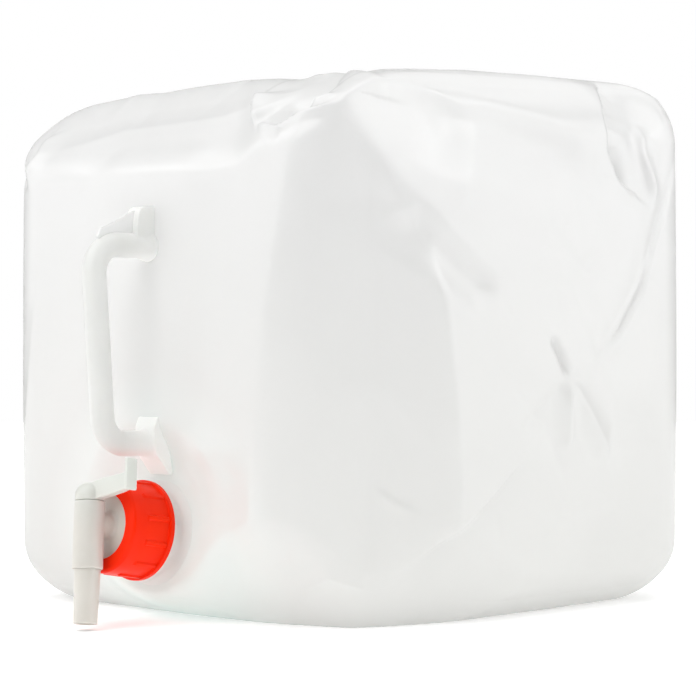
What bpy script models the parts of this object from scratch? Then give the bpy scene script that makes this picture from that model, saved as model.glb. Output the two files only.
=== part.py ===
"""Collapsible water carrier: a blown film bag with a carry handle, a screw neck and a quarter-turn tap.

Metres, +Z up. The front panel, with the handle and the tap, faces -Y, and +X is to its right.
The origin is the centre of the flat base.
"""
import math

import bmesh
import bpy
from mathutils import Matrix, Vector

# Fits
GAP = 0.0003                    # between pieces that touch, or that are moulded as one
RUNNING_GAP = 0.0003            # round the plug, where it turns in its barrel
THREAD_GAP = 0.00035            # between the two threads, and from crest to wall
OVERRUN = 0.001                 # how far a cutter passes the face that it opens
WELD = 0.00001                  # points nearer than this are one
FINE_WELD = 0.000002

# Bag: a blown cube with soft edges
BAG_WIDTH = 0.280
BAG_DEPTH = 0.280
BAG_HEIGHT = 0.276              # up to the top rim, midway between its low and high side
UPRIGHT_EDGE_RADIUS = 0.042
RIM_RADIUS = 0.034              # edges round the top and the base
PANEL_BULGE = 0.009             # the side panels' swell at their middle
TOP_BULGE = 0.007
BACK_RIGHT_RISE = 0.015         # of the top's back right corner
FRONT_LEFT_DROP = 0.003         # of its front left corner
FILM_WALL = 0.0007
BAG_CELLS = 16                  # grid cells along each edge of the cube

# Upright edge between the front and the right panel, pressed flat and leaning in towards its foot
FACET_INSET = 0.040             # from the unrounded edge to the flat, at mid height
FACET_LEAN = math.radians(5.0)
FACET_SOFTNESS = 0.006

# Foot of that edge, rounded off
FOOT_CORNER_INSET = 0.054
FOOT_CORNER_SOFTNESS = 0.006

# Dip in the front top edge, beside the pressed edge
DIP_DEPTH = 0.011
DIP_REACH = 0.065
DIP_ALONG = 0.075               # its middle, to the right of the front panel's middle

# Front top edge, folded down as a sloping band
BAND_INSET = 0.030
BAND_ANGLE = math.radians(48.0)
BAND_SOFTNESS = 0.008

# Far top corner of the right panel, pinched in between two folds
PINCH_INSET = 0.058
PINCH_SPREAD = 0.034
PINCH_DEPTH = 0.011
PINCH_LENGTH = 0.075            # how far the pinch runs down from the top

# Flat land under the handle
LAND_STAND = 0.0082             # the land's plane, out from the front panel's edges
LAND_FADE = 0.030

# Neck, along its own axis from its seat on the film
NECK_HEIGHT = 0.0450            # the axis at the seat, above the base
NECK_TILT = math.radians(9.0)
NECK_STAND = 0.003              # the seat, out from the front panel's edges
SEAT_FADE = 0.026
SEAT_SPLITS = 2                 # times that the film's grid is halved round the seat
SEAT_CELLS = 1.5                # halved cells of flat film past the pad
NECK_LENGTH = 0.0278
NECK_BORE_RADIUS = 0.0165
NECK_WALL_RADIUS = 0.0194
NECK_LIP = 0.0004
PAD_RADIUS = 0.027
PAD_THICKNESS = 0.0012
NECK_FILLET = 0.0032

# Screw thread on the neck and in the cap
THREAD_PITCH = 0.0055
THREAD_SPACE = 0.0019           # from the neck's wall to the cap's bore
NECK_THREAD_TURNS = 2.0
CAP_THREAD_TURNS = 1.5
THREAD_FROM_MOUTH = 0.0022
THREAD_TAPER = 0.12             # of a turn, at each end
THREAD_END_SHARE = 0.35         # of the ridge, where it ends
THREAD_POINTS = 30              # a turn

# Cap ring
CAP_LENGTH = 0.0255
CAP_FACE_WALL = 0.0022
CAP_HOLE_RADIUS = 0.0166
CAP_FRONT_RADIUS = 0.0238
CAP_EDGE_ROUND = 0.0018
CAP_TAPER = 0.0004              # the skirt widens by this to its rim
CAP_RIM_RADIUS = 0.0256
CAP_RIM_LENGTH = 0.0030
CAP_LEAD_IN = 0.0005
RIB_COUNT = 12
RIB_WIDTH = 0.0024
RIB_HEIGHT = 0.0009
RIB_FROM_FRONT = 0.0085
RIB_ROOT = 0.0008               # how deep a rib is let into the skirt

# Seal
SEAL_THICKNESS = 0.0020
SEAL_WIDTH = 0.0036

# Tap body
FLANGE_THICKNESS = 0.0026
TUBE_RADIUS = 0.0065
TUBE_BORE_RADIUS = 0.0042
TUBE_FILLET = 0.0020
BARREL_REACH = 0.0092           # the barrel's axis, out from the cap's face
BARREL_RADIUS = 0.0077
BARREL_ABOVE = 0.0112           # over the neck's axis
BARREL_BELOW = 0.0228
BARREL_EDGE = 0.0005
TAP_TURN = math.radians(7.5)    # as the tap is left, turned about the neck's axis

# Plug, spout and lever
PLUG_RADIUS = 0.0066
PLUG_BORE_RADIUS = 0.0050
PORT_RADIUS = 0.0038
PORT_CROWN = 0.0060             # the waterway's end, over the neck's axis
BEAD_HEIGHT = 0.0003
BEAD_LENGTH = 0.0016
BEAD_FROM_END = 0.0035          # the bead's middle, up from the barrel's lower end
SPOUT_LENGTH = 0.0270
SPOUT_TIP_RADIUS = 0.0060
SPOUT_TIP_BORE = 0.0047
HEAD_RADIUS = 0.0075
HEAD_HEIGHT = 0.0093
HEAD_ROUND = 0.0066
LEVER_LENGTH = 0.0312
LEVER_WIDTH = 0.0050
LEVER_HEIGHT = 0.0088           # at the head
LEVER_TIP_HEIGHT = 0.0108
LEVER_RISE = 0.0036             # of the underside, from the head to the tip
LEVER_TIP_DROP = 0.0010
THUMB_THICKNESS = 0.0020
THUMB_WIDTH = 0.0068
THUMB_HEIGHT = 0.0157
LEVER_EDGE = 0.0006

# Handle
HANDLE_RADIUS = 0.0061
HANDLE_TOP = 0.1911             # the upper arm's middle, above the base
HANDLE_BOTTOM = 0.0912
HANDLE_REACH_TOP = 0.0450       # the grip's middle, out from the front panel's edges
HANDLE_REACH_BOTTOM = 0.0378
HANDLE_BEND = 0.0145
HANDLE_DROOP = 0.0005           # the upper arm's rise from the panel to the grip
FOOT_RADIUS = 0.0078
FOOT_LENGTH = 0.0085
FOOT_DEPTH = 0.0120             # of the feet and plates behind the land, before they are cut to the film
GUSSET_HEIGHT = 0.0198          # the thick gusset over the upper foot, from the upper arm's middle
GUSSET_REACH = 0.0100           # out from the land
GUSSET_THICKNESS = 0.0090
WEB_REACH = 0.0300              # the thin web along the upper arm, out from the land
WEB_TIP_HEIGHT = 0.0088         # from the upper arm's middle
WEB_THICKNESS = 0.0032
STRIP_WIDTH = 0.0150            # the thick strip from the lower foot down to the neck
STRIP_STAND = 0.0026            # out from the land
STRIP_SINK = 0.0068             # its lower end, behind the land
STRIP_ABOVE = 0.0132            # its ends, from the lower arm's middle
STRIP_BELOW = 0.0165
HANDLE_RESOLUTION = 2           # of the bar's round section, a quarter of its sides less one

SIDES = 48
FINE_SIDES = 30
FOOT_SIDES = 20

FRONT_EDGE_Y = -BAG_DEPTH / 2
FILM_CELL = max(BAG_WIDTH, BAG_DEPTH, BAG_HEIGHT) / BAG_CELLS
LAND_MARGIN = FOOT_RADIUS + FILM_CELL
SEAT_RADIUS = PAD_RADIUS + SEAT_CELLS * FILM_CELL / 2 ** SEAT_SPLITS
CAP_FACE = NECK_LENGTH + GAP + SEAL_THICKNESS + GAP + FLANGE_THICKNESS + GAP + CAP_FACE_WALL
CAP_REAR = CAP_FACE - CAP_LENGTH
CAP_BORE_RADIUS = NECK_WALL_RADIUS + THREAD_SPACE
FLANGE_RADIUS = CAP_BORE_RADIUS - 2 * GAP
FLANGE_BACK = NECK_LENGTH + GAP + SEAL_THICKNESS + GAP
THREAD_RIDGE = min(THREAD_SPACE - THREAD_GAP,
                   (math.hypot(THREAD_PITCH / 2, THREAD_SPACE) - THREAD_GAP) / 2)
BARREL_AXIS = CAP_FACE + BARREL_REACH
BARREL_BORE_RADIUS = PLUG_RADIUS + RUNNING_GAP


def clear_scene():
    for obj in list(bpy.data.objects):
        bpy.data.objects.remove(obj, do_unlink=True)


def new_collection(name):
    collection = bpy.data.collections.new(name)
    bpy.context.scene.collection.children.link(collection)
    return collection


def make_material(name, colour, roughness, transmission=0.0):
    material = bpy.data.materials.new(name)
    material.use_nodes = True
    shader = material.node_tree.nodes["Principled BSDF"]
    shader.inputs["Base Color"].default_value = (*colour, 1.0)
    shader.inputs["Roughness"].default_value = roughness
    shader.inputs["Metallic"].default_value = 0.0
    shader.inputs["Transmission Weight"].default_value = transmission
    return material


def add_object(name, mesh, collection, parent=None, location=(0, 0, 0), rotation=(0, 0, 0)):
    obj = bpy.data.objects.new(name, mesh)
    collection.objects.link(obj)
    obj.parent = parent
    obj.location = location
    obj.rotation_euler = rotation
    return obj


def add_empty(name, parent=None, location=(0, 0, 0), rotation=(0, 0, 0)):
    return add_object(name, None, bpy.context.scene.collection, parent, location, rotation)


def as_cutter(obj):
    obj.hide_render = True
    obj.display_type = "WIRE"
    return obj


def mesh_from(name, bm):
    bmesh.ops.recalc_face_normals(bm, faces=bm.faces)
    mesh = bpy.data.meshes.new(name)
    bm.to_mesh(mesh)
    bm.free()
    return mesh


def turned(name, profile, collection, closed, sides=SIDES, **place):
    """A turned piece about local Z. The profile (radius, height) runs down the outer side."""
    bm = bmesh.new()
    points = [bm.verts.new((radius, 0, height)) for radius, height in profile]
    for a, b in zip(points, points[1:]):
        bm.edges.new((a, b))
    if closed:
        bm.edges.new((points[-1], points[0]))
    mesh = bpy.data.meshes.new(name)
    bm.to_mesh(mesh)
    bm.free()
    obj = add_object(name, mesh, collection, **place)
    screw = obj.modifiers.new("turn", "SCREW")
    screw.angle = math.tau
    screw.steps = sides
    screw.render_steps = sides
    screw.use_merge_vertices = True
    screw.merge_threshold = WELD
    return obj


def rod(name, radius, low, high, collection, sides=FINE_SIDES, **place):
    """A plain cylinder along local Z, from low to high."""
    profile = [(0, high), (radius, high), (radius, low), (0, low)]
    return turned(name, profile, collection, False, sides, **place)


def arc(centre, radius, start, end, steps):
    """Points on an arc in a profile's plane, angles in degrees."""
    return [(centre[0] + radius * math.cos(math.radians(start + (end - start) * i / steps)),
             centre[1] + radius * math.sin(math.radians(start + (end - start) * i / steps)))
            for i in range(steps + 1)]


def boolean(obj, other, operation):
    modifier = obj.modifiers.new(other.name, "BOOLEAN")
    modifier.operation = operation
    modifier.solver = "EXACT"
    modifier.object = other
    return modifier


def settle(obj, material, sharp=math.radians(35)):
    """Keeps the evaluated shape as the object's own mesh, shaded smooth between its edges."""
    bpy.context.view_layer.update()
    depsgraph = bpy.context.evaluated_depsgraph_get()
    mesh = bpy.data.meshes.new_from_object(obj.evaluated_get(depsgraph))
    mesh.name = obj.name
    bm = bmesh.new()
    bm.from_mesh(mesh)
    bmesh.ops.remove_doubles(bm, verts=bm.verts, dist=FINE_WELD)
    bmesh.ops.dissolve_degenerate(bm, edges=bm.edges, dist=FINE_WELD)
    bm.to_mesh(mesh)
    bm.free()
    obj.modifiers.clear()
    obj.data = mesh
    mesh.materials.clear()
    mesh.materials.append(material)
    mesh.shade_smooth()
    mesh.set_sharp_from_angle(angle=sharp)
    return obj


def curve_to_mesh(obj, collection):
    """Turns a curve object with loose caps into a closed mesh object of the same name and place."""
    bpy.context.view_layer.update()
    depsgraph = bpy.context.evaluated_depsgraph_get()
    mesh = bpy.data.meshes.new_from_object(obj.evaluated_get(depsgraph))
    bm = bmesh.new()
    bm.from_mesh(mesh)
    bmesh.ops.remove_doubles(bm, verts=bm.verts, dist=WELD)
    bmesh.ops.recalc_face_normals(bm, faces=bm.faces)
    bm.to_mesh(mesh)
    bm.free()
    name = obj.name
    matrix = obj.matrix_world.copy()
    bpy.data.objects.remove(obj, do_unlink=True)
    mesh.name = name
    solid = add_object(name, mesh, collection)
    solid.matrix_world = matrix
    return solid


def wire(name, points, radius, collection, resolution, radii=None, **place):
    """A tube along points, as a closed mesh."""
    curve = bpy.data.curves.new(name, "CURVE")
    curve.dimensions = "3D"
    curve.bevel_depth = radius
    curve.bevel_resolution = resolution
    curve.use_fill_caps = True
    spline = curve.splines.new("POLY")
    spline.points.add(len(points) - 1)
    for i, point in enumerate(points):
        spline.points[i].co = (*point, 1)
        spline.points[i].radius = radii[i] if radii else 1
    return curve_to_mesh(add_object(name, curve, collection, **place), collection)


def flat_outline(name, points, thickness, collection, **place):
    """A plate of the outline in local XY, its thickness centred on that plane."""
    curve = bpy.data.curves.new(name, "CURVE")
    curve.dimensions = "2D"
    curve.fill_mode = "BOTH"
    curve.extrude = thickness / 2
    spline = curve.splines.new("POLY")
    spline.points.add(len(points) - 1)
    for i, (x, y) in enumerate(points):
        spline.points[i].co = (x, y, 0, 1)
    spline.use_cyclic_u = True
    return curve_to_mesh(add_object(name, curve, collection, **place), collection)


def block(name, size, collection, edge, **place):
    """A box about its origin with rounded edges."""
    bm = bmesh.new()
    bmesh.ops.create_cube(bm, size=1)
    bmesh.ops.scale(bm, vec=size, verts=bm.verts)
    obj = add_object(name, mesh_from(name, bm), collection, **place)
    bevel = obj.modifiers.new("edges", "BEVEL")
    bevel.width = edge
    bevel.segments = 2
    return obj


def fade(distance, reach):
    """One at zero distance, easing to nought at the reach."""
    t = min(max(distance / reach, 0), 1)
    return 1 - t * t * (3 - 2 * t)


def press(point, normal, distance, softness):
    """Pushes a point back to a plane, easing in over the softness."""
    over = normal.dot(point) - distance
    if over <= 0:
        return point
    return point - normal * (over * over / (over + softness))


def neck_frame():
    """The neck's seat: X right, Y up and Z out along the neck's axis."""
    place = Vector((0, FRONT_EDGE_Y - NECK_STAND, NECK_HEIGHT))
    return Matrix.Translation(place) @ Matrix.Rotation(math.pi / 2 - NECK_TILT, 4, "X")


def film_point(share):
    """A place on the filled bag's outer face for a place on the cube of half width 1."""
    half = Vector((BAG_WIDTH / 2, BAG_DEPTH / 2, BAG_HEIGHT / 2))
    radii = Vector((UPRIGHT_EDGE_RADIUS, UPRIGHT_EDGE_RADIUS, RIM_RADIUS))
    flat = Vector([share[i] * half[i] for i in range(3)])
    core = Vector([max(min(flat[i], half[i] - radii[i]), radii[i] - half[i]) for i in range(3)])
    out = Vector([(flat[i] - core[i]) / radii[i] for i in range(3)]).normalized()
    point = core + Vector([out[i] * radii[i] for i in range(3)])

    swell = Vector((PANEL_BULGE, PANEL_BULGE, TOP_BULGE))
    for i in range(3):
        others = [share[j] for j in range(3) if j != i]
        point[i] += out[i] * swell[i] * (1 - others[0] ** 2) * (1 - others[1] ** 2)

    corner = (share[0] + share[1]) / 2
    point.z += max(share[2], 0) * (max(corner, 0) * BACK_RIGHT_RISE + min(corner, 0) * FRONT_LEFT_DROP)
    point.z += BAG_HEIGHT / 2
    point = press_dip(point)
    point = press_facet(point)
    point = press_foot_corner(point)
    point = press_band(point)
    point = press_pinch(point)
    point = press_land(point)
    point = press_neck_seat(point)
    point.z = max(point.z, 0)
    return point


def press_facet(point):
    """The pressed upright edge between the front and the right panel."""
    level = Vector((1, -1, 0)).normalized()
    normal = (level * math.cos(FACET_LEAN) - Vector((0, 0, math.sin(FACET_LEAN)))).normalized()
    corner = Vector((BAG_WIDTH / 2, -BAG_DEPTH / 2, BAG_HEIGHT / 2))
    return press(point, normal, normal.dot(corner) - FACET_INSET, FACET_SOFTNESS)


def press_foot_corner(point):
    """The rounded foot of the pressed edge."""
    normal = Vector((1, -1, -1)).normalized()
    corner = Vector((BAG_WIDTH / 2, -BAG_DEPTH / 2, 0))
    return press(point, normal, normal.dot(corner) - FOOT_CORNER_INSET, FOOT_CORNER_SOFTNESS)


def press_dip(point):
    """The sunken stretch of the front top edge."""
    middle = Vector((DIP_ALONG, -BAG_DEPTH / 2, BAG_HEIGHT))
    point.z -= DIP_DEPTH * fade((point - middle).length, DIP_REACH)
    return point


def press_band(point):
    """The sloping band along the front top edge."""
    normal = Vector((0, -math.sin(BAND_ANGLE), math.cos(BAND_ANGLE)))
    corner = Vector((0, -BAG_DEPTH / 2, BAG_HEIGHT))
    return press(point, normal, normal.dot(corner) - BAND_INSET, BAND_SOFTNESS)


def press_pinch(point):
    """The pinched far corner, a groove down from the top of the right panel."""
    across = abs(point.y - (BAG_DEPTH / 2 - PINCH_INSET))
    down = max(BAG_HEIGHT - point.z, 0)
    side = max(point.x, 0) / (BAG_WIDTH / 2)
    point.x -= PINCH_DEPTH * fade(across, PINCH_SPREAD) * fade(down, PINCH_LENGTH) * min(side, 1) ** 6
    return point


def press_land(point):
    """The flat land that carries the handle."""
    if point.y > 0:
        return point
    low = HANDLE_BOTTOM - LAND_MARGIN
    high = HANDLE_TOP + LAND_MARGIN
    above = max(low - point.z, point.z - high, 0)
    beside = max(abs(point.x) - LAND_MARGIN, 0)
    weight = fade(math.hypot(above, beside), LAND_FADE)
    point.y += (FRONT_EDGE_Y - LAND_STAND - point.y) * weight
    return point


def press_neck_seat(point):
    """The flat seat under the neck's pad."""
    if point.y > 0:
        return point
    local = neck_frame().inverted() @ point
    weight = fade(max(local.length - SEAT_RADIUS, 0), SEAT_FADE)
    local.z -= local.z * weight
    return neck_frame() @ local


def filled_bag(name):
    """The bag's outer face as a closed mesh, with finer cells round the neck's seat."""
    bm = bmesh.new()
    bmesh.ops.create_cube(bm, size=2)
    bmesh.ops.subdivide_edges(bm, edges=bm.edges, cuts=BAG_CELLS - 1, use_grid_fill=True)
    seat = neck_frame().translation
    for split in range(SEAT_SPLITS):
        reach = SEAT_RADIUS + FILM_CELL / 2 ** split
        near = [e for e in bm.edges if all((film_point(v.co) - seat).length < reach for v in e.verts)]
        bmesh.ops.subdivide_edges(bm, edges=near, cuts=1, use_grid_fill=True)
    for vert in bm.verts:
        vert.co = film_point(vert.co)
    bmesh.ops.triangulate(bm, faces=bm.faces)
    return mesh_from(name, bm)


def build_bag(parts, cutters, neck_axis, material):
    bag = add_object("bag_skin", filled_bag("bag_skin"), parts)
    wall = bag.modifiers.new("film", "SOLIDIFY")
    wall.thickness = FILM_WALL
    wall.offset = -1
    hole = as_cutter(rod("neck_hole", NECK_BORE_RADIUS, -FILM_WALL - OVERRUN, OVERRUN, cutters, SIDES,
                         parent=neck_axis))
    boolean(bag, hole, "DIFFERENCE")
    return settle(bag, material)


def thread_ridge(name, radius, start, turns, collection, parent):
    """One round thread ridge, climbing outwards as it turns to the left."""
    count = round(turns * THREAD_POINTS)
    points = []
    radii = []
    for i in range(count + 1):
        turn = i / THREAD_POINTS
        points.append((radius * math.cos(math.tau * turn), radius * math.sin(math.tau * turn),
                       start + THREAD_PITCH * turn))
        to_end = min(turn, turns - turn)
        radii.append(max(min(to_end / THREAD_TAPER, 1), THREAD_END_SHARE))
    return as_cutter(wire(name, points, THREAD_RIDGE, collection, 1, radii, parent=parent))


def neck_thread_start():
    return NECK_LENGTH - THREAD_FROM_MOUTH - THREAD_RIDGE - NECK_THREAD_TURNS * THREAD_PITCH


def build_neck(parts, cutters, neck_axis, material):
    mouth = NECK_LENGTH
    pad_top = GAP + PAD_THICKNESS
    profile = [(NECK_BORE_RADIUS, mouth), (NECK_WALL_RADIUS - NECK_LIP, mouth)]
    profile += [(NECK_WALL_RADIUS, mouth - NECK_LIP)]
    profile += arc((NECK_WALL_RADIUS + NECK_FILLET, pad_top + NECK_FILLET), NECK_FILLET, 180, 270, 4)
    profile += [(PAD_RADIUS - PAD_THICKNESS, pad_top), (PAD_RADIUS, GAP + PAD_THICKNESS / 3)]
    profile += [(PAD_RADIUS, GAP), (NECK_BORE_RADIUS, GAP)]
    neck = turned("threaded_neck", profile, parts, True, parent=neck_axis)
    ridge = thread_ridge("neck_thread", NECK_WALL_RADIUS, neck_thread_start(), NECK_THREAD_TURNS,
                         cutters, neck_axis)
    boolean(neck, ridge, "UNION")
    return settle(neck, material)


def build_seal(parts, neck_axis, material):
    back = NECK_LENGTH + GAP
    outer = FLANGE_RADIUS
    profile = [(outer - SEAL_WIDTH, back + SEAL_THICKNESS), (outer, back + SEAL_THICKNESS),
               (outer, back), (outer - SEAL_WIDTH, back)]
    return settle(turned("seal_washer", profile, parts, True, parent=neck_axis), material)


def build_cap(parts, cutters, neck_axis, material):
    skirt_end = CAP_FRONT_RADIUS + CAP_TAPER
    rim_top = CAP_REAR + CAP_RIM_LENGTH
    under_face = CAP_FACE - CAP_FACE_WALL
    profile = [(CAP_HOLE_RADIUS, CAP_FACE)]
    profile += arc((CAP_FRONT_RADIUS - CAP_EDGE_ROUND, CAP_FACE - CAP_EDGE_ROUND), CAP_EDGE_ROUND, 90, 0, 4)
    profile += [(skirt_end, rim_top), (CAP_RIM_RADIUS - CAP_LEAD_IN, rim_top),
                (CAP_RIM_RADIUS, rim_top - CAP_LEAD_IN), (CAP_RIM_RADIUS, CAP_REAR + CAP_LEAD_IN),
                (CAP_RIM_RADIUS - CAP_LEAD_IN, CAP_REAR),
                (CAP_BORE_RADIUS + CAP_LEAD_IN, CAP_REAR), (CAP_BORE_RADIUS, CAP_REAR + CAP_LEAD_IN),
                (CAP_BORE_RADIUS, under_face), (CAP_HOLE_RADIUS, under_face)]
    cap = turned("cap_ring", profile, parts, True, parent=neck_axis)
    boolean(cap, cap_ribs(cutters, neck_axis), "UNION")
    start = neck_thread_start() - THREAD_PITCH / 2
    start += math.ceil((CAP_REAR + CAP_LEAD_IN + THREAD_RIDGE - start) / THREAD_PITCH) * THREAD_PITCH
    ridge = thread_ridge("cap_thread", CAP_BORE_RADIUS, start, CAP_THREAD_TURNS, cutters, neck_axis)
    boolean(cap, ridge, "UNION")
    return settle(cap, material)


def cap_ribs(cutters, neck_axis):
    """The grip ribs as one mesh, let into the skirt and the rim."""
    low = CAP_REAR + CAP_RIM_LENGTH / 2
    high = CAP_FACE - RIB_FROM_FRONT
    inner = CAP_FRONT_RADIUS - RIB_ROOT
    outer = CAP_FRONT_RADIUS + CAP_TAPER + RIB_HEIGHT
    bm = bmesh.new()
    for i in range(RIB_COUNT):
        place = Matrix.Rotation(math.tau * (i + 0.5) / RIB_COUNT, 4, "Z")
        place = place @ Matrix.Translation(((inner + outer) / 2, 0, (low + high) / 2))
        rib = bmesh.ops.create_cube(bm, size=1)["verts"]
        bmesh.ops.scale(bm, vec=(outer - inner, RIB_WIDTH, high - low), verts=rib)
        bmesh.ops.transform(bm, matrix=place, verts=rib)
    ribs = add_object("cap_ribs", mesh_from("cap_ribs", bm), cutters, parent=neck_axis)
    bevel = ribs.modifiers.new("edges", "BEVEL")
    bevel.width = RIB_HEIGHT / 3
    bevel.segments = 1
    return as_cutter(ribs)


def build_tap_body(parts, cutters, tap_axis, plug_axis, material):
    flange_face = FLANGE_BACK + FLANGE_THICKNESS
    profile = [(0, BARREL_AXIS), (TUBE_RADIUS, BARREL_AXIS)]
    profile += arc((TUBE_RADIUS + TUBE_FILLET, flange_face + TUBE_FILLET), TUBE_FILLET, 180, 270, 3)
    profile += [(FLANGE_RADIUS, flange_face), (FLANGE_RADIUS, FLANGE_BACK), (0, FLANGE_BACK)]
    body = turned("tap_body", profile, parts, False, parent=tap_axis)
    barrel = as_cutter(turned("barrel", [
        (0, BARREL_ABOVE), (BARREL_RADIUS - BARREL_EDGE, BARREL_ABOVE),
        (BARREL_RADIUS, BARREL_ABOVE - BARREL_EDGE), (BARREL_RADIUS, BARREL_EDGE - BARREL_BELOW),
        (BARREL_RADIUS - BARREL_EDGE, -BARREL_BELOW),
        (0, -BARREL_BELOW)], cutters, False, FINE_SIDES, parent=plug_axis))
    boolean(body, barrel, "UNION")
    way = as_cutter(rod("tube_bore", TUBE_BORE_RADIUS, FLANGE_BACK - OVERRUN, BARREL_AXIS, cutters,
                        parent=tap_axis))
    boolean(body, way, "DIFFERENCE")
    bead = bead_middle()
    groove = BARREL_BORE_RADIUS + BEAD_HEIGHT
    half = BEAD_LENGTH / 2 + RUNNING_GAP
    bore = as_cutter(turned("barrel_bore", [
        (0, BARREL_ABOVE + OVERRUN), (BARREL_BORE_RADIUS, BARREL_ABOVE + OVERRUN),
        (BARREL_BORE_RADIUS, bead + half + BEAD_HEIGHT), (groove, bead + half), (groove, bead - half),
        (BARREL_BORE_RADIUS, bead - half - BEAD_HEIGHT), (BARREL_BORE_RADIUS, -BARREL_BELOW - OVERRUN),
        (0, -BARREL_BELOW - OVERRUN)], cutters, False, FINE_SIDES, parent=plug_axis))
    boolean(body, bore, "DIFFERENCE")
    return settle(body, material)


def bead_middle():
    return BEAD_FROM_END - BARREL_BELOW


def build_plug(parts, cutters, plug_axis, material):
    seat = BARREL_ABOVE + GAP
    head_top = BARREL_ABOVE + HEAD_HEIGHT
    spout_top = -BARREL_BELOW - GAP
    tip = -BARREL_BELOW - SPOUT_LENGTH
    bead = bead_middle()
    half = BEAD_LENGTH / 2
    profile = [(0, head_top)]
    profile += arc((HEAD_RADIUS - HEAD_ROUND, head_top - HEAD_ROUND), HEAD_ROUND, 90, 0, 5)
    profile += [(HEAD_RADIUS, seat), (PLUG_RADIUS, seat), (PLUG_RADIUS, bead + half),
                (PLUG_RADIUS + BEAD_HEIGHT, bead + half - BEAD_HEIGHT),
                (PLUG_RADIUS + BEAD_HEIGHT, bead - half + BEAD_HEIGHT), (PLUG_RADIUS, bead - half),
                (PLUG_RADIUS, spout_top), (SPOUT_TIP_RADIUS, tip), (SPOUT_TIP_BORE, tip),
                (PLUG_BORE_RADIUS, PORT_CROWN - PLUG_BORE_RADIUS / 2),
                (PLUG_BORE_RADIUS / 2, PORT_CROWN), (0, PORT_CROWN)]
    plug = turned("tap_plug", profile, parts, False, FINE_SIDES, parent=plug_axis)
    boolean(plug, lever_web(cutters, plug_axis), "UNION")
    boolean(plug, thumb_plate(cutters, plug_axis), "UNION")
    port = as_cutter(rod("side_port", PORT_RADIUS, 0, BARREL_RADIUS, cutters, FINE_SIDES,
                         parent=plug_axis, rotation=(0, -math.pi / 2, 0)))
    boolean(plug, port, "DIFFERENCE")
    return settle(plug, material)


def lever_web(cutters, plug_axis):
    """The lever's upright web, pointing to +X over the barrel."""
    low = BARREL_ABOVE + 2 * GAP
    end = LEVER_LENGTH - THUMB_THICKNESS / 2
    outline = [(0, low), (HEAD_RADIUS, low), (end, low + LEVER_RISE),
               (end, low + LEVER_RISE + LEVER_TIP_HEIGHT), (HEAD_RADIUS, low + LEVER_HEIGHT),
               (0, BARREL_ABOVE + HEAD_HEIGHT - GAP)]
    web = flat_outline("lever_web", outline, LEVER_WIDTH, cutters, parent=plug_axis,
                       rotation=(math.pi / 2, 0, 0))
    bevel = web.modifiers.new("edges", "BEVEL")
    bevel.width = LEVER_EDGE
    bevel.segments = 1
    bevel.limit_method = "ANGLE"
    return as_cutter(web)


def thumb_plate(cutters, plug_axis):
    low = BARREL_ABOVE + 2 * GAP + LEVER_RISE - LEVER_TIP_DROP
    return as_cutter(block("thumb_plate", (THUMB_THICKNESS, THUMB_WIDTH, THUMB_HEIGHT), cutters, LEVER_EDGE,
                           parent=plug_axis,
                           location=(LEVER_LENGTH - THUMB_THICKNESS / 2, 0, low + THUMB_HEIGHT / 2)))


def handle_path():
    """The handle's centre line from inside its upper foot to inside its lower one, round both bends."""
    wall = FRONT_EDGE_Y - LAND_STAND - FOOT_LENGTH / 2
    top = Vector((0, FRONT_EDGE_Y - HANDLE_REACH_TOP, HANDLE_TOP + HANDLE_DROOP))
    bottom = Vector((0, FRONT_EDGE_Y - HANDLE_REACH_BOTTOM, HANDLE_BOTTOM))
    points = [Vector((0, wall, HANDLE_TOP))]
    points += bend(points[0], top, bottom, HANDLE_BEND, 6)
    foot = Vector((0, wall, HANDLE_BOTTOM))
    points += bend(top, bottom, foot, HANDLE_BEND, 6)
    points.append(foot)
    return points


def bend(before, corner, after, radius, steps):
    """Points that round a corner of a path with an arc."""
    into = (corner - before).normalized()
    away = (after - corner).normalized()
    turn = into.angle(away)
    tangent = radius * math.tan(turn / 2)
    start = corner - into * tangent
    side = (away - into * into.dot(away)).normalized()
    centre = start + side * radius
    return [centre - side * radius * math.cos(turn * i / steps) + into * radius * math.sin(turn * i / steps)
            for i in range(steps + 1)]


def handle_plate(name, outline, thickness, height, cutters):
    """An upright plate in the handle's plane. Its outline runs out from the land and up from a height."""
    return as_cutter(flat_outline(name, outline, thickness, cutters,
                                  location=(0, FRONT_EDGE_Y - LAND_STAND, height),
                                  rotation=(math.pi / 2, 0, -math.pi / 2)))


def film_and_gap(cutters):
    """The filled bag, grown by the gap, to cut what seats on the film."""
    grown = add_object("film_and_gap", filled_bag("film_and_gap"), cutters)
    push = grown.modifiers.new("gap", "DISPLACE")
    push.strength = GAP
    push.mid_level = 0
    return as_cutter(grown)


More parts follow.
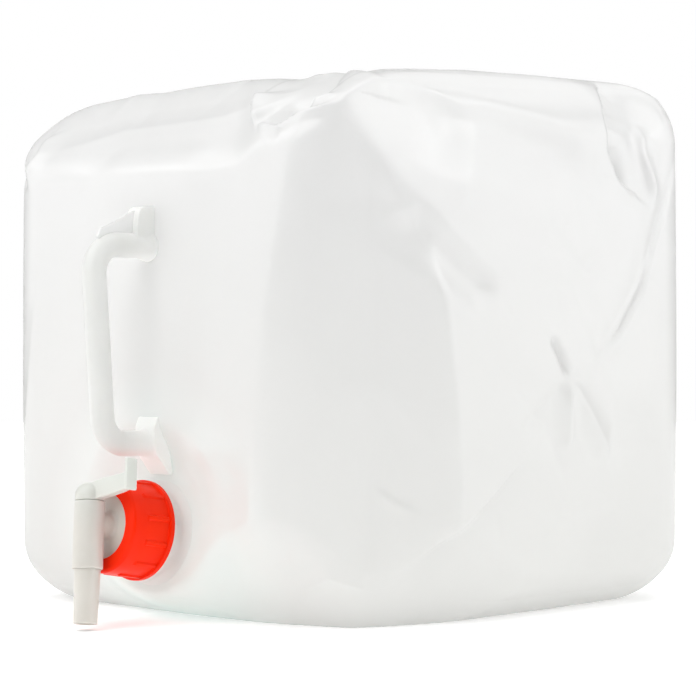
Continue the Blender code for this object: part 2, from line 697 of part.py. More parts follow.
def build_handle(parts, cutters, material):
    handle = wire("carry_handle", handle_path(), HANDLE_RADIUS, parts, HANDLE_RESOLUTION)
    flat_radius = HANDLE_RADIUS * math.cos(math.pi / (4 * (HANDLE_RESOLUTION + 1)))
    profile = [(0, FOOT_LENGTH), (flat_radius, FOOT_LENGTH), (FOOT_RADIUS, 0), (FOOT_RADIUS, -FOOT_DEPTH),
               (0, -FOOT_DEPTH)]
    for name, height in (("upper_foot", HANDLE_TOP), ("lower_foot", HANDLE_BOTTOM)):
        foot = turned(name, profile, cutters, False, FOOT_SIDES, rotation=(math.pi / 2, 0, 0),
                      location=(0, FRONT_EDGE_Y - LAND_STAND, height))
        boolean(handle, as_cutter(foot), "UNION")
    gusset = [(-FOOT_DEPTH, 0), (GUSSET_REACH, 0), (GUSSET_REACH, GUSSET_HEIGHT),
              (-FOOT_DEPTH, GUSSET_HEIGHT)]
    web_top = GUSSET_HEIGHT - WEB_THICKNESS / 2
    web = [(0, 0), (WEB_REACH, 0), (WEB_REACH, WEB_TIP_HEIGHT), (GUSSET_REACH, web_top), (0, web_top)]
    strip = [(-FOOT_DEPTH, -STRIP_BELOW), (-STRIP_SINK, -STRIP_BELOW), (STRIP_STAND, -HANDLE_RADIUS),
             (STRIP_STAND, HANDLE_RADIUS), (0, STRIP_ABOVE), (-FOOT_DEPTH, STRIP_ABOVE)]
    boolean(handle, handle_plate("gusset", gusset, GUSSET_THICKNESS, HANDLE_TOP, cutters), "UNION")
    boolean(handle, handle_plate("web", web, WEB_THICKNESS, HANDLE_TOP, cutters), "UNION")
    boolean(handle, handle_plate("strip", strip, STRIP_WIDTH, HANDLE_BOTTOM, cutters), "UNION")
    boolean(handle, film_and_gap(cutters), "DIFFERENCE")
    return settle(handle, material)


def main():
    clear_scene()
    parts = new_collection("collapsible water carrier")
    cutters = new_collection("cutters and joined shapes")
    film = make_material("clear film", (0.90, 0.91, 0.89), 0.28, 0.6)
    natural = make_material("natural polyethylene", (0.87, 0.88, 0.84), 0.38, 0.2)
    red = make_material("orange red plastic", (0.95, 0.05, 0.01), 0.35)
    rubber = make_material("pale rubber", (0.80, 0.80, 0.78), 0.70)

    neck_axis = add_empty("neck_axis")
    neck_axis.matrix_world = neck_frame()
    tap_axis = add_empty("tap_axis", neck_axis, rotation=(0, 0, TAP_TURN))
    plug_axis = add_empty("plug_axis", tap_axis, (0, 0, BARREL_AXIS), (-math.pi / 2, 0, 0))

    build_bag(parts, cutters, neck_axis, film)
    build_neck(parts, cutters, neck_axis, natural)
    build_handle(parts, cutters, natural)
    build_seal(parts, neck_axis, rubber)
    build_cap(parts, cutters, neck_axis, red)
    build_tap_body(parts, cutters, tap_axis, plug_axis, natural)
    build_plug(parts, cutters, plug_axis, natural)


main()
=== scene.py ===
"""The collapsible water carrier as it looks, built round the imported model.

Metres, +Z up. The front panel, with the handle and the tap, faces -Y.
"""
import math
import random

import bmesh
import bpy
import numpy as np
from mathutils import Matrix, Vector


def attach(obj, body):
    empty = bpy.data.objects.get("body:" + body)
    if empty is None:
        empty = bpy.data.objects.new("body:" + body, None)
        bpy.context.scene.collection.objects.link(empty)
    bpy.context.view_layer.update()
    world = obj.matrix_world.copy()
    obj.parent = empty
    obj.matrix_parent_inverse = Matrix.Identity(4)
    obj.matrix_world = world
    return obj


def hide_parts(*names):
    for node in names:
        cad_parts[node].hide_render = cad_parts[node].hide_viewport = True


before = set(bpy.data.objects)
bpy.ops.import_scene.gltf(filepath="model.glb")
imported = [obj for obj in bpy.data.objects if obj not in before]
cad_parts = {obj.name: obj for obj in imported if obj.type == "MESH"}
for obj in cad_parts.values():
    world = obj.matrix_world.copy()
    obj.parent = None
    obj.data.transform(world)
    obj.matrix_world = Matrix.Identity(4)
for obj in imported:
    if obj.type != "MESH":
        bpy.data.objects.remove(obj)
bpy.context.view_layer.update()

# Camera, level with the middle of the bag
CAMERA_AZIMUTH = math.radians(44.0)
CAMERA_DISTANCE = 1.245
CAMERA_HEIGHT = 0.1394
CAMERA_ASIDE = -0.0012
PHOTO_SIDE = 696
FOCAL_PIXELS = 2232
SENSOR = 36.0                   # mm
CAMERA_NEAR = 0.01

# Bag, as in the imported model
BAG = np.array([0.280, 0.280, 0.276])
EDGE_RADII = np.array([0.042, 0.042, 0.034])
SWELL = np.array([0.009, 0.009, 0.007])
BACK_RIGHT_RISE = 0.015
FRONT_LEFT_DROP = 0.003
FRONT_Y = -BAG[1] / 2
FILM_CELLS = 170
FILM_WALL = 0.0006

# The dip in the top at the sloping band's right end
DIP_X = 0.075
DIP_DEPTH = 0.011
DIP_REACH = 0.065

# The right front edge, pressed flat. Its left side is softer, from a place along its width on
DIAGONAL = math.sqrt(0.5)
ALONG_PRESSED = np.array([DIAGONAL, DIAGONAL, 0])
PRESSED_SIDE = math.radians(45)
PRESSED_LEAN = math.radians(5)
PRESSED_INSET = 0.040
PRESSED_SOFTNESS = 0.005
PRESSED_SOFTER = 0.010
PRESSED_SOFTER_FROM = 0.010
PRESSED_SOFTER_FADE = 0.030

# The flap at the pressed edge's right, a flat through one corner point
FLAP_SIDE = math.radians(72)
FLAP_UP = math.radians(11.6)
FLAP_CORNER = np.array([0.1153, -0.1238, 0.266])
FLAP_SOFTNESS = 0.0015

# The pressed edge's foot, cut by three sloping flats: degrees round from its middle, and inset
FOOT_FLATS = ((-24, 0.050), (0, 0.054), (24, 0.050))
FOOT_SLOPE = 0.70
FOOT_SOFTNESS = 0.007

# The band that slopes from the front to the top, cut less deep near the pressed edge
BAND_UP = math.radians(42)
BAND_INSET = 0.030
BAND_LIFT = 0.011
BAND_LIFT_FROM = -0.062
BAND_LIFT_FADE = 0.026
BAND_SOFTNESS = 0.008

# The pinched corner at the back right
PINCH_FROM_BACK = 0.058
PINCH_DEPTH = 0.011
PINCH_REACH = 0.034
PINCH_DROP = 0.075
PINCH_POWER = 6

# Neck, along its own axis from its seat on the film
NECK_HEIGHT = 0.0450
NECK_TILT = math.radians(9.0)
NECK_STAND = 0.003
SEAT_RADIUS = 0.0336
SEAT_FADE = 0.026
NECK_LENGTH = 0.0278
NECK_BORE = 0.0165
NECK_WALL = 0.0194
PAD_RADIUS = 0.027
PAD_THICKNESS = 0.0012
NECK_FILLET = 0.0032
THREAD_PITCH = 0.0055
THREAD_RIDGE = 0.0015
THREAD_START = 0.0131           # the neck's thread, up from the seat
NECK_TURNS = 2.0
CAP_TURNS = 1.5
THREAD_RUN_OUT = 0.08           # of a turn
NECK_LIP_ROUND = 0.0005
PAD_EDGE = 0.0001
NECK_STEP = 0.00025
NECK_SEGMENTS = 224

# Cap ring
CAP_FACE = 0.0355
CAP_REAR = 0.0100
CAP_FACE_WALL = 0.0022
CAP_HOLE = 0.0166
CAP_BORE = 0.0213
CAP_FRONT = 0.0238
CAP_ROUND = 0.0018
CAP_TAPER = 0.0004
CAP_RIM = 0.0256
CAP_RIM_LENGTH = 0.0030
CAP_EDGE = 0.0005
RIB_COUNT = 12
RIB_WIDTH = 0.0024
RIB_HEIGHT = 0.0009
RIB_FROM_FRONT = 0.0085
RIB_SIDE = 0.0005
RIB_SIDE_SET_IN = 0.0003
RIB_END = 0.0007
CAP_HOLE_ROUND = 0.0003
CAP_RIM_FILLET = 0.0004
CAP_STEP = 0.0003
CAP_SEGMENTS = 384

# Tap
GAP = 0.0003
FLANGE_RADIUS = 0.0207
FLANGE_BACK = 0.0304
FLANGE_THICKNESS = 0.0026
SEAL_BACK = 0.0281
SEAL_THICKNESS = 0.0020
SEAL_WIDTH = 0.0036
SEAL_EDGE = 0.0004
TUBE_RADIUS = 0.0065
TUBE_BORE = 0.0042
TUBE_FILLET = 0.0020
BARREL_AXIS = 0.0447
BARREL_RADIUS = 0.0077
BARREL_BORE = 0.0067
BARREL_ABOVE = 0.0112
BARREL_BELOW = 0.0228
BARREL_EDGE = 0.0007
TAP_TURN = math.radians(7.5)
PLUG_RADIUS = 0.0066
PLUG_BORE = 0.0050
PORT_RADIUS = 0.0038
PORT_CROWN = 0.0060
SPOUT_LENGTH = 0.0270
SPOUT_TIP = 0.0060
SPOUT_TIP_BORE = 0.0047
HEAD_RADIUS = 0.0075
HEAD_HEIGHT = 0.0093
HEAD_ROUND = 0.0066
LEVER_LENGTH = 0.0312
LEVER_WIDTH = 0.0050
LEVER_HEIGHT = 0.0088
LEVER_TIP_HEIGHT = 0.0108
LEVER_RISE = 0.0036
LEVER_TIP_DROP = 0.0010
LEVER_TIP_SLOPE = 0.0030
LEVER_CREST = 0.0005
LEVER_CREST_START = 0.0030
LEVER_CREST_POWER = 1.3
LEVER_UNDER_SHARES = (0.25, 0.5, 0.75, 1.0)
LEVER_OVER_SHARES = (0.8, 0.6, 0.4)
THUMB_THICKNESS = 0.0020
THUMB_WIDTH = 0.0068
THUMB_HEIGHT = 0.0157
CUT_PAST = 0.001
TURNED_SEGMENTS = 96
MOULDED_VOXEL = 0.00032
MOULDED_SMOOTHING = 0.5
MOULDED_ROUNDS = 4

# Handle
HANDLE_RADIUS = 0.0061
HANDLE_TOP = 0.1911
HANDLE_BOTTOM = 0.0912
HANDLE_REACH_TOP = 0.0450
HANDLE_REACH_BOTTOM = 0.0378
HANDLE_BEND = 0.0145
HANDLE_DROOP = 0.0005
HANDLE_TO_LAND = 0.0004
HANDLE_FLARE = 0.0015
HANDLE_FLARE_LENGTH = 0.008
HANDLE_OVAL = 0.0002
PARTING_HEIGHT = 0.00028
PARTING_WIDTH = 0.055           # a share of the bar's radius
BEND_STEPS = 24
PATH_STEP = 0.0008
SECTION_POINTS = 72
ROOT_SINK = 0.0064              # the film at the lower root, behind the land

# Outlines of the plates at the handle's roots, out from the land and up from the bar's middle
GUSSET_EDGE = [(-0.002, 0.0), (0.0110, 0.0), (0.0114, 0.0100), (0.0106, 0.0160), (0.0092, 0.0190),
               (0.0070, 0.0200), (-0.002, 0.0204)]
GUSSET_THICKNESS = 0.0090
WEB_EDGE = [(0.0, 0.0), (0.0300, 0.0), (0.0340, 0.0040), (0.0318, 0.0082), (0.0257, 0.0106),
            (0.0218, 0.0125), (0.0139, 0.0164), (0.0080, 0.0186), (0.0, 0.0190)]
WEB_THICKNESS = 0.0018
STRIP_EDGE = [(-0.0104, -0.0165), (-0.0074, -0.0165), (0.0010, -0.0061), (0.0026, 0.0), (0.0026, 0.0080),
              (0.0004, 0.0132), (-0.0012, 0.0132), (-0.0070, 0.0)]
STRIP_WIDTH = 0.0150
HANDLE_VOXEL = 0.0005

# The flat land on the film behind the handle
LAND_STAND = 0.0082
LAND_MARGIN = 0.0253
LAND_FADE = 0.030

# The panels that folds are placed on: outward normal, and the directions of their two coordinates
PANELS = {
    "front": ((0, -1, 0), (1, 0, 0), (0, 0, 1)),
    "band": ((0, -DIAGONAL, DIAGONAL), (1, 0, 0), (0, 0, 1)),
    "pressed edge": ((DIAGONAL, -DIAGONAL, 0), (DIAGONAL, DIAGONAL, 0), (0, 0, 1)),
    "right": ((1, 0, 0), (0, 1, 0), (0, 0, 1)),
    "back": ((0, 1, 0), (-1, 0, 0), (0, 0, 1)),
    "left": ((-1, 0, 0), (0, -1, 0), (0, 0, 1)),
    "top": ((0, 0, 1), (1, 0, 0), (0, 1, 0)),
    "near left corner": ((-DIAGONAL, -DIAGONAL, 0), (DIAGONAL, -DIAGONAL, 0), (0, 0, 1)),
}
PANEL_FROM = 0.30               # cosine between the bag's own normal and the panel's, where folds start
PANEL_FADE = 0.35
CREASE_POWER = 1.7
FOLD_END_SHARE = 0.22
FOLD_END_HEIGHT = 0.15

# Creases: panel, line on it, height out of the panel, reach to the left and to the right of the line
CREASES = [
    # The wedge and the streak at the pinched corner
    ("right", [(0.070, 0.280), (0.052, 0.262), (0.050, 0.244), (0.057, 0.232), (0.070, 0.224)],
     -0.0130, 0.023, 0.003),
    ("right", [(0.088, 0.262), (0.086, 0.245), (0.091, 0.218)], 0.0036, 0.010, 0.007),
    # The long crease, and the pinch where it ends
    ("right", [(0.117, 0.246), (0.090, 0.203), (0.073, 0.170), (0.053, 0.149), (0.023, 0.127)],
     -0.0026, 0.003, 0.018),
    ("right", [(0.090, 0.198), (0.066, 0.166), (0.044, 0.143), (0.024, 0.130)], 0.0014, 0.003, 0.004),
    ("right", [(-0.006, 0.146), (0.002, 0.136), (0.008, 0.124)], -0.0036, 0.004, 0.006),
    ("right", [(0.008, 0.126), (0.008, 0.110), (0.008, 0.086)], 0.0030, 0.012, 0.013),
    ("right", [(0.008, 0.124), (0.026, 0.104), (0.046, 0.080)], 0.0027, 0.014, 0.012),
    ("right", [(0.008, 0.124), (-0.010, 0.112), (-0.030, 0.096)], -0.0018, 0.010, 0.008),
    ("right", [(-0.020, 0.086), (-0.051, 0.061), (-0.075, 0.043), (-0.092, 0.025)], -0.0022, 0.016, 0.003),
    # The fold line of the sloping band, and the gusset at its left end
    ("front", [(-0.104, 0.245), (-0.068, 0.249), (-0.041, 0.2545), (0.000, 0.2555), (0.030, 0.257),
               (0.056, 0.263)], 0.0026, 0.010, 0.030),
    ("near left corner", [(0.010, 0.258), (0.020, 0.246), (0.022, 0.232)], 0.0036, 0.010, 0.005),
    ("near left corner", [(-0.012, 0.250), (0.004, 0.238), (0.020, 0.226)], -0.0028, 0.006, 0.008),
    # The cluster of small folds at the head of the pressed edge
    ("band", [(0.054, 0.268), (0.055, 0.260), (0.061, 0.253), (0.068, 0.248)], 0.0062, 0.024, 0.003),
    ("band", [(0.104, 0.268), (0.098, 0.262), (0.092, 0.250)], -0.0068, 0.004, 0.026),
    ("band", [(0.066, 0.249), (0.076, 0.2465), (0.085, 0.245), (0.094, 0.250), (0.108, 0.253),
              (0.118, 0.258)], 0.0036, 0.005, 0.004),
    ("band", [(0.088, 0.257), (0.100, 0.2595), (0.112, 0.262)], 0.0022, 0.003, 0.003),
    ("top", [(0.060, -0.098), (0.082, -0.096), (0.100, -0.102), (0.114, -0.114)], 0.0022, 0.012, 0.010),
    # Foot of the pressed edge
    ("pressed edge", [(0.010, 0.070), (0.019, 0.063), (0.030, 0.058)], 0.0007, 0.004, 0.005),
    ("pressed edge", [(-0.030, 0.018), (-0.014, 0.026), (0.006, 0.020)], 0.0018, 0.008, 0.006),
    # The top panel
    ("top", [(-0.110, -0.050), (-0.040, -0.020), (0.030, 0.000), (0.100, 0.060)], -0.0020, 0.050, 0.036),
    ("top", [(0.060, -0.110), (0.040, -0.050), (0.046, 0.020)], -0.0022, 0.020, 0.030),
    # The back and the left panel, which the photograph doesn't show
    ("back", [(-0.090, 0.240), (-0.050, 0.190), (-0.030, 0.120), (-0.040, 0.050)], -0.0022, 0.030, 0.040),
    ("back", [(0.100, 0.250), (0.060, 0.200), (0.010, 0.170)], -0.0024, 0.006, 0.026),
    ("back", [(0.010, 0.170), (0.030, 0.110), (0.080, 0.060)], 0.0018, 0.030, 0.012),
    ("left", [(-0.100, 0.220), (-0.020, 0.200), (0.060, 0.215), (0.110, 0.190)], -0.0026, 0.026, 0.030),
    ("left", [(-0.060, 0.050), (0.010, 0.100), (0.020, 0.180)], -0.0018, 0.024, 0.036),
]

# Soft swells and hollows along a line, given in the same way
SWELLS = [
    ("right", [(-0.104, 0.208), (-0.088, 0.190), (-0.070, 0.177), (-0.045, 0.163)], -0.0052, 0.013, 0.018),
    ("right", [(-0.090, 0.258), (-0.070, 0.254), (-0.040, 0.249), (-0.010, 0.243), (0.034, 0.233)],
     -0.0062, 0.018, 0.034),
    ("right", [(0.010, 0.020), (0.060, 0.070), (0.080, 0.120)], -0.0030, 0.030, 0.036),
    ("right", [(0.010, 0.210), (0.030, 0.180)], -0.0016, 0.020, 0.020),
    ("front", [(0.050, 0.020), (0.055, 0.090)], -0.0024, 0.030, 0.024),
    ("front", [(-0.004, 0.212), (-0.004, 0.180)], 0.0014, 0.010, 0.010),
    ("front", [(0.000, 0.106), (0.000, 0.068)], 0.0012, 0.009, 0.009),
    ("top", [(-0.080, 0.070), (0.000, 0.090), (0.080, 0.080)], -0.0030, 0.040, 0.040),
]

# Small wrinkles, placed at random
WRINKLE_SEED = 11
WRINKLES = {"front": 5, "right": 16, "back": 22, "left": 20, "top": 18}
WRINKLE_ACROSS = (-0.11, 0.11)
WRINKLE_UP = (0.03, 0.24)
WRINKLE_REACH = (0.02, 0.06)
WRINKLE_BOW = (-0.2, 0.2)
WRINKLE_HEIGHT = (0.0004, 0.0009)
WRINKLE_LEFT = (0.006, 0.016)
WRINKLE_RIGHT = (0.012, 0.030)

# A noise has a scale, a detail and, where it isn't even, a stretch. These are spans of its value
NOISE_MIDDLE = (0.35, 0.65)
NOISE_MOST = (0.3, 0.7)

WHITE = (1, 1, 1)

# Looks of the film
# Darker and less blue low down: partly the thicker film's own tint, partly painted shade for dimmer light
# low down
FILM_SHADES = ((0.905, 0.905, 0.890), (0.940, 0.940, 0.938))    # at the bottom, and from the tint height up
FILM_TINT_AND_SHADE_HEIGHT = 0.22
FILM_CLOUD_SHADES = ((0.985, 0.985, 0.985), WHITE)
FILM_CLOUD_NOISE = (9.0, 2.0)
FILM_CLOUD_SPAN = (0.2, 0.8)
FILM_ROUGHNESS = (0.20, 0.26)
FILM_ROUGHNESS_NOISE = (30.0, 3.0)
FILM_GRAIN = 0.00012
FILM_GRAIN_NOISE = (60.0, 4.0, (1, 1, 0.25))
FILM_GLOSS = 1.0
FILM_MILKY = 0.40
FILM_CLEAR = (0.05, 0.20)       # by the neck, and far from it
FILM_CLEAR_REACH = (0.03, 0.14)
# Painted light: the film glows greenish white round the neck, lifting the shade and the cap's red bounce
# beside it
NECK_GLOW_COLOUR = (0.60, 1.0, 0.93)
NECK_GLOW = (0.15, 0.0)         # by the neck, and far from it
NECK_GLOW_REACH = (0.03, 0.085)

# Looks of the mouldings. Soft is the share of light scattered inside, and through is the share let through
MOULDED_SHADE_NOISE = (45.0, 3.0)
MOULDED_ROUGHNESS_NOISE = (90.0, 3.0)
MOULDED_GRAIN = 0.00006
MOULDED_GRAIN_NOISE = (220.0, 5.0)
SCATTER_DEPTH = 0.003
SCATTER_COLOUR = (1.0, 1.0, 0.9)
# Painted light: the handle glows more towards the film, lifting the shade at its roots
ROOT_GLOW_REACH = (FRONT_Y - 0.030, FRONT_Y - 0.008)
# Painted light: the tap plastics turn lighter and greener towards their upper end, where the lever is lit
# more
LEVER_SHADE = (0.66, 0.682, 0.643)
LEVER_SHADE_HEIGHTS = (0.050, 0.078)
NATURAL = {"shades": ((0.80, 0.805, 0.79), (0.83, 0.835, 0.82)), "roughness": (0.30, 0.42),
           "soft": 0.35, "through": 0.35}
# Each glow is painted light that lifts the piece's shaded sides: at the handle, in the neck's shade, on the
# cap
MOULDINGS = {
    "natural polyethylene": {**NATURAL, "glow": 0.08, "root_glow": 0.36},
    "neck polyethylene": {**NATURAL, "glow": 0.19},
    "tap plastic": {"shades": ((0.65, 0.628, 0.578), (0.68, 0.658, 0.608)), "roughness": (0.28, 0.38),
                    "soft": 0.35, "upper": (LEVER_SHADE, LEVER_SHADE_HEIGHTS)},
    "cap plastic": {"shades": ((0.86, 0.018, 0.0006), (0.90, 0.024, 0.001)), "roughness": (0.32, 0.44),
                    "soft": 0.10, "gloss": 0.1, "glow": 0.07},
    "seal rubber": {"shades": ((0.74, 0.74, 0.71), (0.80, 0.80, 0.77)), "roughness": (0.62, 0.78),
                    "soft": 0.05},
}

# Floor
FLOOR_RADIUS = 3.0
FLOOR_SEGMENTS = 96
FLOOR_SHADES = ((0.965, 0.965, 0.965), (0.98, 0.98, 0.98))
FLOOR_NOISE = (3.0, 3.0)
FLOOR_ROUGHNESS = 0.9
FLOOR_GLOW = (0.26, 1.05)       # under the bag, and far behind it
FLOOR_GLOW_REACH = (0.25, 1.00)

# Lights: size, power in watts, azimuth and elevation in degrees, and distance from the bag's middle
SOFTBOXES = {
    "left_softbox": ((2.4, 1.8), 13.7, -50, 12, 2.0),
    "right_softbox": ((2.4, 1.8), 23.4, 126, 12, 2.0),
    "top_softbox": ((1.8, 1.8), 19.0, 44, 85, 2.0),
    "left_high": ((0.9, 0.9), 4.6, -35, 50, 1.2),
    "right_high": ((0.9, 0.9), 4.9, 110, 45, 1.3),
    "front_fill": ((1.2, 1.2), 15.0, 8, 33, 2.0),
    "back_high": ((1.2, 1.0), 4.0, 190, 48, 1.6),
}


def towards(side, up=0.0):
    """The direction at an angle round from the front to the right, and up from level."""
    return np.array([math.sin(side) * math.cos(up), -math.cos(side) * math.cos(up), math.sin(up)])


def ease(t):
    t = np.clip(t, 0, 1)
    return t * t * (3 - 2 * t)


def fade(distance, reach):
    """One at zero distance, easing to nought at the reach."""
    return 1 - ease(distance / reach)


def press(points, normal, distance, softness):
    """Pushes points back to a plane, easing in over the softness."""
    over = np.maximum(points @ normal - distance, 0)
    return points - np.outer(over * over / (over + softness), normal)


def neck_frame():
    """The neck's seat: X right, Y up and Z out along the neck's axis."""
    place = Vector((0, FRONT_Y - NECK_STAND, NECK_HEIGHT))
    return Matrix.Translation(place) @ Matrix.Rotation(math.pi / 2 - NECK_TILT, 4, "X")


def tap_frame():
    return neck_frame() @ Matrix.Rotation(TAP_TURN, 4, "Z")


def plug_frame():
    """The plug's axis: Z up through the barrel, X to the lever's side."""
    return tap_frame() @ Matrix.Translation((0, 0, BARREL_AXIS)) @ Matrix.Rotation(-math.pi / 2, 4, "X")


def blown_cube(share):
    """Points of the filled bag before its large forms, and their outward normals, from a cube of side 2."""
    half = BAG / 2
    flat = share * half
    core = np.clip(flat, EDGE_RADII - half, half - EDGE_RADII)
    out = (flat - core) / EDGE_RADII
    out /= np.linalg.norm(out, axis=1)[:, None]
    points = core + out * EDGE_RADII
    for i in range(3):
        j, k = [n for n in range(3) if n != i]
        points[:, i] += out[:, i] * SWELL[i] * (1 - share[:, j] ** 2) * (1 - share[:, k] ** 2)
    corner = (share[:, 0] + share[:, 1]) / 2
    lift = np.maximum(corner, 0) * BACK_RIGHT_RISE + np.minimum(corner, 0) * FRONT_LEFT_DROP
    points[:, 2] += np.maximum(share[:, 2], 0) * lift + half[2]
    return points, out


def pressed_bag(points):
    """The bag's large forms: the dip, the pressed edge, its flap and foot, the band and the pinch."""
    width, depth, height = BAG
    dip = np.array([DIP_X, FRONT_Y, height])
    points[:, 2] -= DIP_DEPTH * fade(np.linalg.norm(points - dip, axis=1), DIP_REACH)

    normal = towards(PRESSED_SIDE, -PRESSED_LEAN)
    corner = np.array([width / 2, FRONT_Y, height / 2])
    to_left = ease((PRESSED_SOFTER_FROM - points @ ALONG_PRESSED) / PRESSED_SOFTER_FADE)
    softness = PRESSED_SOFTNESS + PRESSED_SOFTER * to_left
    points = press(points, normal, normal @ corner - PRESSED_INSET, softness)

    normal = towards(FLAP_SIDE, FLAP_UP)
    points = press(points, normal, normal @ FLAP_CORNER, FLAP_SOFTNESS)

    corner = np.array([width / 2, FRONT_Y, 0])
    for turn, inset in FOOT_FLATS:
        normal = towards(PRESSED_SIDE + math.radians(turn)) - np.array([0, 0, FOOT_SLOPE])
        normal /= np.linalg.norm(normal)
        points = press(points, normal, normal @ corner - inset, FOOT_SOFTNESS)

    normal = towards(0, BAND_UP)
    corner = np.array([0, FRONT_Y, height])
    lift = BAND_LIFT * ease((points @ ALONG_PRESSED - BAND_LIFT_FROM) / BAND_LIFT_FADE)
    points = press(points, normal, normal @ corner - BAND_INSET + lift, BAND_SOFTNESS)

    across = np.abs(points[:, 1] - (depth / 2 - PINCH_FROM_BACK))
    down = np.maximum(height - points[:, 2], 0)
    side = np.clip(points[:, 0] / (width / 2), 0, 1)
    points[:, 0] -= PINCH_DEPTH * fade(across, PINCH_REACH) * fade(down, PINCH_DROP) * side ** PINCH_POWER
    return points


def handle_land(points):
    """Draws the front panel to a flat upright land behind the handle."""
    low = HANDLE_BOTTOM - LAND_MARGIN
    high = HANDLE_TOP + LAND_MARGIN
    above = np.maximum(np.maximum(low - points[:, 2], points[:, 2] - high), 0)
    beside = np.maximum(np.abs(points[:, 0]) - LAND_MARGIN, 0)
    weight = fade(np.hypot(above, beside), LAND_FADE) * (points[:, 1] < 0)
    points[:, 1] += (FRONT_Y - LAND_STAND - points[:, 1]) * weight
    return points


def neck_seat(points):
    """Flattens the film under the neck to a disc square to the neck's axis."""
    place = np.array(neck_frame())
    back = np.linalg.inv(place)
    local = points @ back[:3, :3].T + back[:3, 3]
    reach = np.maximum(np.linalg.norm(local, axis=1) - SEAT_RADIUS, 0)
    local[:, 2] *= 1 - fade(reach, SEAT_FADE) * (points[:, 1] < 0)
    return local @ place[:3, :3].T + place[:3, 3]


def line_distance(u, v, line):
    """Distance from a line of points, positive on its right, and the share of the way along it."""
    line = np.array(line)
    lengths = np.linalg.norm(np.diff(line, axis=0), axis=1)
    starts = np.concatenate([[0], np.cumsum(lengths)])
    best = np.full(len(u), 1e9)
    side = np.zeros(len(u))
    share = np.zeros(len(u))
    for (a, b), length, start in zip(zip(line, line[1:]), lengths, starts):
        du, dv = (b - a) / length
        along = np.clip((u - a[0]) * du + (v - a[1]) * dv, 0, length)
        off = np.hypot(u - a[0] - along * du, v - a[1] - along * dv)
        nearer = off < best
        best = np.where(nearer, off, best)
        side = np.where(nearer, (u - a[0]) * dv - (v - a[1]) * du, side)
        share = np.where(nearer, (start + along) / starts[-1], share)
    return best * np.sign(side), share


def along_line(distance, share, fold, sharp):
    """Height over a line: sharp along it, or softly rounded, and fading out at its ends."""
    height, left, right = fold
    reach = np.where(distance < 0, left, right)
    near = np.clip(np.abs(distance) / reach, 0, 1)
    slope = (1 - near) ** CREASE_POWER if sharp else 1 - ease(near)
    ends = ease(share / FOLD_END_SHARE) * ease((1 - share) / FOLD_END_SHARE)
    return height * slope * (FOLD_END_HEIGHT + (1 - FOLD_END_HEIGHT) * ends)


def folded(points, out, folds, sharp):
    """Moves the points along each fold's panel normal, where the bag faces that way."""
    moved = points.copy()
    for panel, line, *fold in folds:
        normal, u_way, v_way = (np.array(way) for way in PANELS[panel])
        weight = ease((out @ normal - PANEL_FROM) / PANEL_FADE)
        on = weight > 0
        distance, share = line_distance(points[on] @ u_way, points[on] @ v_way, line)
        moved[on] += np.outer(along_line(distance, share, fold, sharp) * weight[on], normal)
    return moved


def random_wrinkles():
    """Short, shallow creases: three points each, one side steeper than the other."""
    draw = random.Random(WRINKLE_SEED)
    folds = []
    for panel, count in WRINKLES.items():
        for _ in range(count):
            u = draw.uniform(*WRINKLE_ACROSS)
            v = draw.uniform(*WRINKLE_ACROSS) if panel == "top" else draw.uniform(*WRINKLE_UP)
            way = draw.uniform(0, math.pi)
            reach = draw.uniform(*WRINKLE_REACH)
            bow = draw.uniform(*WRINKLE_BOW)
            ways = [(step, way + bow * step) for step in (-1, 0, 1)]
            line = [(u + reach * step * math.cos(turn), v + reach * step * math.sin(turn))
                    for step, turn in ways]
            height = draw.uniform(*WRINKLE_HEIGHT) * draw.choice((-1, 1))
            folds.append((panel, line, height, draw.uniform(*WRINKLE_LEFT), draw.uniform(*WRINKLE_RIGHT)))
    return folds


def film_points(share):
    """The film's outer surface: the filled bag, its large forms, its folds and its seats."""
    points, out = blown_cube(share)
    points = pressed_bag(points)
    points = folded(points, out, CREASES + random_wrinkles(), True)
    points = handle_land(points)
    points = folded(points, out, SWELLS, False)
    points = neck_seat(points)
    points[:, 2] = np.maximum(points[:, 2], 0)
    return points


def link(name, mesh):
    obj = bpy.data.objects.new(name, mesh)
    bpy.context.scene.collection.objects.link(obj)
    return obj


def coordinates(mesh):
    values = np.empty(len(mesh.vertices) * 3)
    mesh.vertices.foreach_get("co", values)
    return values.reshape(-1, 3)


def evaluated(obj):
    """The object's mesh with its modifiers applied."""
    bpy.context.view_layer.update()
    depsgraph = bpy.context.evaluated_depsgraph_get()
    return bpy.data.meshes.new_from_object(obj.evaluated_get(depsgraph))


def keep_shape(obj, sharp=math.radians(40)):
    """Applies the modifiers, and shades the faces smooth between their edges."""
    mesh = evaluated(obj)
    obj.modifiers.clear()
    obj.data = mesh
    mesh.shade_smooth()
    mesh.set_sharp_from_angle(angle=sharp)
    return obj


def finish_piece(obj, material, node, body):
    obj.data.materials.clear()
    obj.data.materials.append(material)
    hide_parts(node)
    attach(obj, body)
    return obj


def open_neck_hole(bm):
    """Takes out the film behind the neck's bore, and rounds the hole's edge."""
    place = neck_frame()
    back = place.inverted()
    inside = [f for f in bm.faces if (back @ f.calc_center_median()).length < NECK_BORE]
    bmesh.ops.delete(bm, geom=inside, context="FACES")
    for vert in bm.verts:
        if vert.is_boundary:
            local = back @ vert.co
            flat = Vector((local.x, local.y, 0)).normalized() * NECK_BORE
            vert.co = place @ Vector((flat.x, flat.y, local.z))


